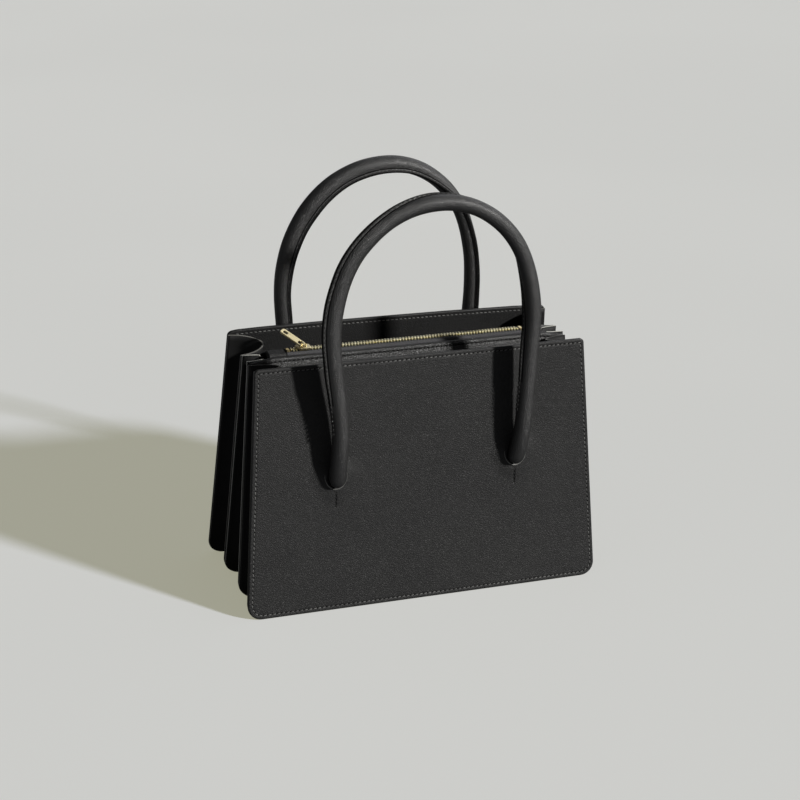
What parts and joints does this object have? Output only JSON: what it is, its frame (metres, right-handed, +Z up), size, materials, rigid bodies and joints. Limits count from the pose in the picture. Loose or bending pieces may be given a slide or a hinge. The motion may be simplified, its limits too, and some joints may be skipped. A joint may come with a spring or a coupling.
{
  "type": "top handle bag",
  "caption": "Structured leather top handle bag with two rolled handles, folded gussets, two open compartments and a zipped middle one.",
  "frame": {"origin": "on the floor, under the middle of the bag", "axes": "+X along the width to the right as seen from the front, +Y from the front panel to the rear panel, +Z up towards the handles"},
  "size_m": [0.2706, 0.1274, 0.3053],
  "materials": {
    "panel_leather": "smooth calf, semi-matt",
    "gusset_leather": "smooth calf, semi-matt, raw painted edges",
    "lining": "matt split",
    "board": "pressed fibre board",
    "handle_leather": "smooth calf, semi-matt",
    "handle_core": "twisted filler cord",
    "zip_tape": "herringbone woven tape",
    "zip_metal": "polished",
    "slider_metal": "polished",
    "tab_leather": "smooth calf, semi-matt"
  },
  "bodies": {
    "bag": {"front_panel_leather": "panel_leather", "rear_panel_leather": "panel_leather", "front_partition_leather": "panel_leather", "rear_partition_leather": "panel_leather", "front_panel_board": "board", "rear_panel_board": "board", "front_partition_board": "board", "rear_partition_board": "board", "front_panel_lining": "lining", "rear_panel_lining": "lining", "front_partition_lining": "lining", "rear_partition_lining": "lining", "front_gusset": "gusset_leather", "middle_gusset": "gusset_leather", "rear_gusset": "gusset_leather", "zip_tape_front": "zip_tape", "zip_tape_rear": "zip_tape", "zip_teeth_front": "zip_metal", "zip_teeth_rear": "zip_metal", "zip_top_stops": "zip_metal", "zip_bottom_stop": "zip_metal", "zip_end_tab_left": "tab_leather", "zip_end_tab_right": "tab_leather"},
    "front_handle": {"front_handle_cover": "handle_leather", "front_handle_core": "handle_core"},
    "rear_handle": {"rear_handle_cover": "handle_leather", "rear_handle_core": "handle_core"},
    "slider": {"zip_slider": "slider_metal"},
    "pull": {"zip_pull": "slider_metal"}
  },
  "joints": [
    {"name": "front_handle_swing", "type": "hinge", "parent": "bag", "child": "front_handle", "pos_m": [0, -0.05241, 0.102], "axis": [1, 0, 0], "range_deg": [-2, 35]},
    {"name": "rear_handle_swing", "type": "hinge", "parent": "bag", "child": "rear_handle", "pos_m": [0, 0.05241, 0.102], "axis": [1, 0, 0], "range_deg": [-35, 2]},
    {"name": "zip_slide", "type": "slide", "parent": "bag", "child": "slider", "axis": [1, 0, 0], "range_m": [-0.0045, 0.1618]},
    {"name": "pull_swing", "type": "hinge", "parent": "slider", "child": "pull", "pos_m": [-0.07865, 0, 0.185], "axis": [0.6428, 0.766, 0], "range_deg": [0, 126]}
  ]
}
